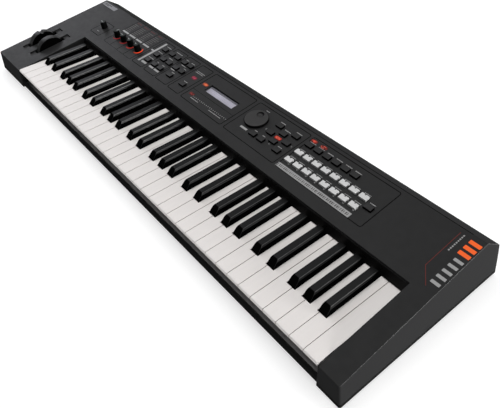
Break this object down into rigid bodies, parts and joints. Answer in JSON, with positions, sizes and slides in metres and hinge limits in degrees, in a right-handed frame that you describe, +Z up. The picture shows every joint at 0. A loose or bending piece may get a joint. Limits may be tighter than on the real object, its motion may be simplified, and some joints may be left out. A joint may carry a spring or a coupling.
{
  "type": "synthesizer",
  "caption": "Compact keyboard synthesizer with sprung keys, two performance wheels, knobs, data dial, display, push buttons and rear sockets.",
  "frame": {"origin": "on the table, under the middle of the case, level with the undersides of the feet", "axes": "+X along the keyboard towards the high keys, +Y from the player to the back, +Z up"},
  "size_m": [0.992, 0.3, 0.086],
  "materials": {
    "case_plastic": "fine matt texture",
    "base_plastic": "fine matt texture",
    "strip_gloss": "polished",
    "white_keys": "satin gloss",
    "black_keys": "satin",
    "steel_sheet": "zinc plated",
    "steel_rod": "ground",
    "screw_steel": "blackened",
    "plated_steel": "plated",
    "felt": "felt",
    "circuit_board": "solder mask",
    "rubber": "matt",
    "wheel_rubber": "satin",
    "knob_rubber": "matt",
    "dial_plastic": "satin",
    "dark_buttons": "satin",
    "white_buttons": "satin",
    "component_plastic": "moulded",
    "display": "backlit film",
    "display_window": "clear",
    "lamp_red": "translucent",
    "badge": "satin",
    "cable": "flat ribbon"
  },
  "bodies": {
    "chassis": {"bottom_case": "base_plastic", "top_case": "case_plastic", "key_strip": "strip_gloss", "keybed_frame": "steel_sheet", "key_pivot_rod": "steel_rod", "key_stop_felt": "felt", "contact_board": "circuit_board", "contact_domes": "rubber", "main_board": "circuit_board", "panel_boards": "circuit_board", "button_pads": "rubber", "lcd_module": "display", "lcd_window": "display_window", "potentiometers": "component_plastic", "dial_encoder": "component_plastic", "knob_rings": "lamp_red", "panel_lamps": "lamp_red", "name_badge": "badge", "jack_board": "circuit_board", "audio_jacks": "component_plastic", "midi_sockets": "component_plastic", "usb_ports": "plated_steel", "dc_inlet": "component_plastic", "power_switch": "component_plastic", "wheel_bracket": "steel_sheet", "wheel_axle": "steel_rod", "ribbon_cables": "cable", "rubber_feet": "rubber", "case_screws": "screw_steel", "board_screws": "screw_steel"},
    "key_c": {"key_c": "white_keys"},
    "key_c_sharp": {"key_c_sharp": "black_keys"},
    "key_d": {"key_d": "white_keys"},
    "key_d_sharp": {"key_d_sharp": "black_keys"},
    "key_e": {"key_e": "white_keys"},
    "key_f": {"key_f": "white_keys"},
    "key_f_sharp": {"key_f_sharp": "black_keys"},
    "key_g": {"key_g": "white_keys"},
    "key_g_sharp": {"key_g_sharp": "black_keys"},
    "key_a": {"key_a": "white_keys"},
    "key_a_sharp": {"key_a_sharp": "black_keys"},
    "key_b": {"key_b": "white_keys"},
    "pitch_wheel": {"pitch_wheel": "wheel_rubber"},
    "modulation_wheel": {"modulation_wheel": "wheel_rubber"},
    "volume_knob": {"volume_knob": "knob_rubber"},
    "assign_knob_1": {"assign_knob_1": "knob_rubber"},
    "assign_knob_2": {"assign_knob_2": "knob_rubber"},
    "assign_knob_3": {"assign_knob_3": "knob_rubber"},
    "assign_knob_4": {"assign_knob_4": "knob_rubber"},
    "data_dial": {"data_dial": "dial_plastic"},
    "power_button": {"power_button": "dark_buttons"},
    "song_buttons": {"song_buttons": "dark_buttons"},
    "part_buttons": {"part_buttons": "dark_buttons"},
    "function_buttons": {"function_buttons": "dark_buttons"},
    "cursor_buttons_vertical": {"cursor_buttons_vertical": "dark_buttons"},
    "cursor_buttons_horizontal": {"cursor_buttons_horizontal": "dark_buttons"},
    "command_buttons": {"command_buttons": "dark_buttons"},
    "mode_buttons": {"mode_buttons": "dark_buttons"},
    "category_buttons_rear": {"category_buttons_rear": "white_buttons"},
    "category_buttons_front": {"category_buttons_front": "white_buttons"}
  },
  "joints": [
    {"name": "key_c_press", "type": "hinge", "parent": "chassis", "child": "key_c", "pos_m": [0, 0.046, 0.039], "axis": [1, 0, 0], "range_deg": [0, 2.9], "stiffness_Nm_per_rad": 2, "springref_deg": -11.46},
    {"name": "key_c_sharp_press", "type": "hinge", "parent": "chassis", "child": "key_c_sharp", "pos_m": [0, 0.046, 0.039], "axis": [1, 0, 0], "range_deg": [0, 3.3], "stiffness_Nm_per_rad": 2, "springref_deg": -11.46},
    {"name": "key_d_press", "type": "hinge", "parent": "chassis", "child": "key_d", "pos_m": [0, 0.046, 0.039], "axis": [1, 0, 0], "range_deg": [0, 2.9], "stiffness_Nm_per_rad": 2, "springref_deg": -11.46},
    {"name": "key_d_sharp_press", "type": "hinge", "parent": "chassis", "child": "key_d_sharp", "pos_m": [0, 0.046, 0.039], "axis": [1, 0, 0], "range_deg": [0, 3.3], "stiffness_Nm_per_rad": 2, "springref_deg": -11.46},
    {"name": "key_e_press", "type": "hinge", "parent": "chassis", "child": "key_e", "pos_m": [0, 0.046, 0.039], "axis": [1, 0, 0], "range_deg": [0, 2.9], "stiffness_Nm_per_rad": 2, "springref_deg": -11.46},
    {"name": "key_f_press", "type": "hinge", "parent": "chassis", "child": "key_f", "pos_m": [0, 0.046, 0.039], "axis": [1, 0, 0], "range_deg": [0, 2.9], "stiffness_Nm_per_rad": 2, "springref_deg": -11.46},
    {"name": "key_f_sharp_press", "type": "hinge", "parent": "chassis", "child": "key_f_sharp", "pos_m": [0, 0.046, 0.039], "axis": [1, 0, 0], "range_deg": [0, 3.3], "stiffness_Nm_per_rad": 2, "springref_deg": -11.46},
    {"name": "key_g_press", "type": "hinge", "parent": "chassis", "child": "key_g", "pos_m": [0, 0.046, 0.039], "axis": [1, 0, 0], "range_deg": [0, 2.9], "stiffness_Nm_per_rad": 2, "springref_deg": -11.46},
    {"name": "key_g_sharp_press", "type": "hinge", "parent": "chassis", "child": "key_g_sharp", "pos_m": [0, 0.046, 0.039], "axis": [1, 0, 0], "range_deg": [0, 3.3], "stiffness_Nm_per_rad": 2, "springref_deg": -11.46},
    {"name": "key_a_press", "type": "hinge", "parent": "chassis", "child": "key_a", "pos_m": [0, 0.046, 0.039], "axis": [1, 0, 0], "range_deg": [0, 2.9], "stiffness_Nm_per_rad": 2, "springref_deg": -11.46},
    {"name": "key_a_sharp_press", "type": "hinge", "parent": "chassis", "child": "key_a_sharp", "pos_m": [0, 0.046, 0.039], "axis": [1, 0, 0], "range_deg": [0, 3.3], "stiffness_Nm_per_rad": 2, "springref_deg": -11.46},
    {"name": "key_b_press", "type": "hinge", "parent": "chassis", "child": "key_b", "pos_m": [0, 0.046, 0.039], "axis": [1, 0, 0], "range_deg": [0, 2.9], "stiffness_Nm_per_rad": 2, "springref_deg": -11.46},
    {"name": "pitch_wheel_turn", "type": "hinge", "parent": "chassis", "child": "pitch_wheel", "pos_m": [-0.461, -0.061, 0.04408], "axis": [-1, 0, 0], "range_deg": [-28, 28], "stiffness_Nm_per_rad": 0.3},
    {"name": "modulation_wheel_turn", "type": "hinge", "parent": "chassis", "child": "modulation_wheel", "pos_m": [-0.424, -0.061, 0.04408], "axis": [-1, 0, 0], "range_deg": [0, 56]},
    {"name": "volume_knob_turn", "type": "hinge", "parent": "chassis", "child": "volume_knob", "pos_m": [-0.3855, 0.0535, 0.07032], "axis": [0, -0.1191, 0.9929], "range_deg": [-150, 150]},
    {"name": "assign_knob_1_turn", "type": "hinge", "parent": "chassis", "child": "assign_knob_1", "pos_m": [-0.33, 0.0545, 0.07044], "axis": [0, -0.1191, 0.9929], "range_deg": [-150, 150]},
    {"name": "assign_knob_2_turn", "type": "hinge", "parent": "chassis", "child": "assign_knob_2", "pos_m": [-0.3033, 0.0545, 0.07044], "axis": [0, -0.1191, 0.9929], "range_deg": [-150, 150]},
    {"name": "assign_knob_3_turn", "type": "hinge", "parent": "chassis", "child": "assign_knob_3", "pos_m": [-0.2766, 0.0545, 0.07044], "axis": [0, -0.1191, 0.9929], "range_deg": [-150, 150]},
    {"name": "assign_knob_4_turn", "type": "hinge", "parent": "chassis", "child": "assign_knob_4", "pos_m": [-0.2499, 0.0545, 0.07044], "axis": [0, -0.1191, 0.9929], "range_deg": [-150, 150]},
    {"name": "data_dial_turn", "type": "hinge", "parent": "chassis", "child": "data_dial", "pos_m": [0.0924, 0.0757, 0.07298], "axis": [0, -0.1191, 0.9929], "continuous": true},
    {"name": "power_button_press", "type": "slide", "parent": "chassis", "child": "power_button", "axis": [0, -1, 0], "range_m": [0, 0.002], "stiffness_N_per_m": 150, "springref_m": -0.004},
    {"name": "song_buttons_press", "type": "slide", "parent": "chassis", "child": "song_buttons", "axis": [0, 0.1191, -0.9929], "range_m": [0, 0.001], "stiffness_N_per_m": 200, "springref_m": -0.004},
    {"name": "part_buttons_press", "type": "slide", "parent": "chassis", "child": "part_buttons", "axis": [0, 0.1191, -0.9929], "range_m": [0, 0.001], "stiffness_N_per_m": 200, "springref_m": -0.004},
    {"name": "function_buttons_press", "type": "slide", "parent": "chassis", "child": "function_buttons", "axis": [0, 0.1191, -0.9929], "range_m": [0, 0.001], "stiffness_N_per_m": 200, "springref_m": -0.004},
    {"name": "cursor_buttons_vertical_press", "type": "slide", "parent": "chassis", "child": "cursor_buttons_vertical", "axis": [0, 0.1191, -0.9929], "range_m": [0, 0.001], "stiffness_N_per_m": 200, "springref_m": -0.004},
    {"name": "cursor_buttons_horizontal_press", "type": "slide", "parent": "chassis", "child": "cursor_buttons_horizontal", "axis": [0, 0.1191, -0.9929], "range_m": [0, 0.001], "stiffness_N_per_m": 200, "springref_m": -0.004},
    {"name": "command_buttons_press", "type": "slide", "parent": "chassis", "child": "command_buttons", "axis": [0, 0.1191, -0.9929], "range_m": [0, 0.001], "stiffness_N_per_m": 200, "springref_m": -0.004},
    {"name": "mode_buttons_press", "type": "slide", "parent": "chassis", "child": "mode_buttons", "axis": [0, 0.1191, -0.9929], "range_m": [0, 0.001], "stiffness_N_per_m": 200, "springref_m": -0.004},
    {"name": "category_buttons_rear_press", "type": "slide", "parent": "chassis", "child": "category_buttons_rear", "axis": [0, 0.1191, -0.9929], "range_m": [0, 0.001], "stiffness_N_per_m": 200, "springref_m": -0.004},
    {"name": "category_buttons_front_press", "type": "slide", "parent": "chassis", "child": "category_buttons_front", "axis": [0, 0.1191, -0.9929], "range_m": [0, 0.001], "stiffness_N_per_m": 200, "springref_m": -0.004}
  ]
}
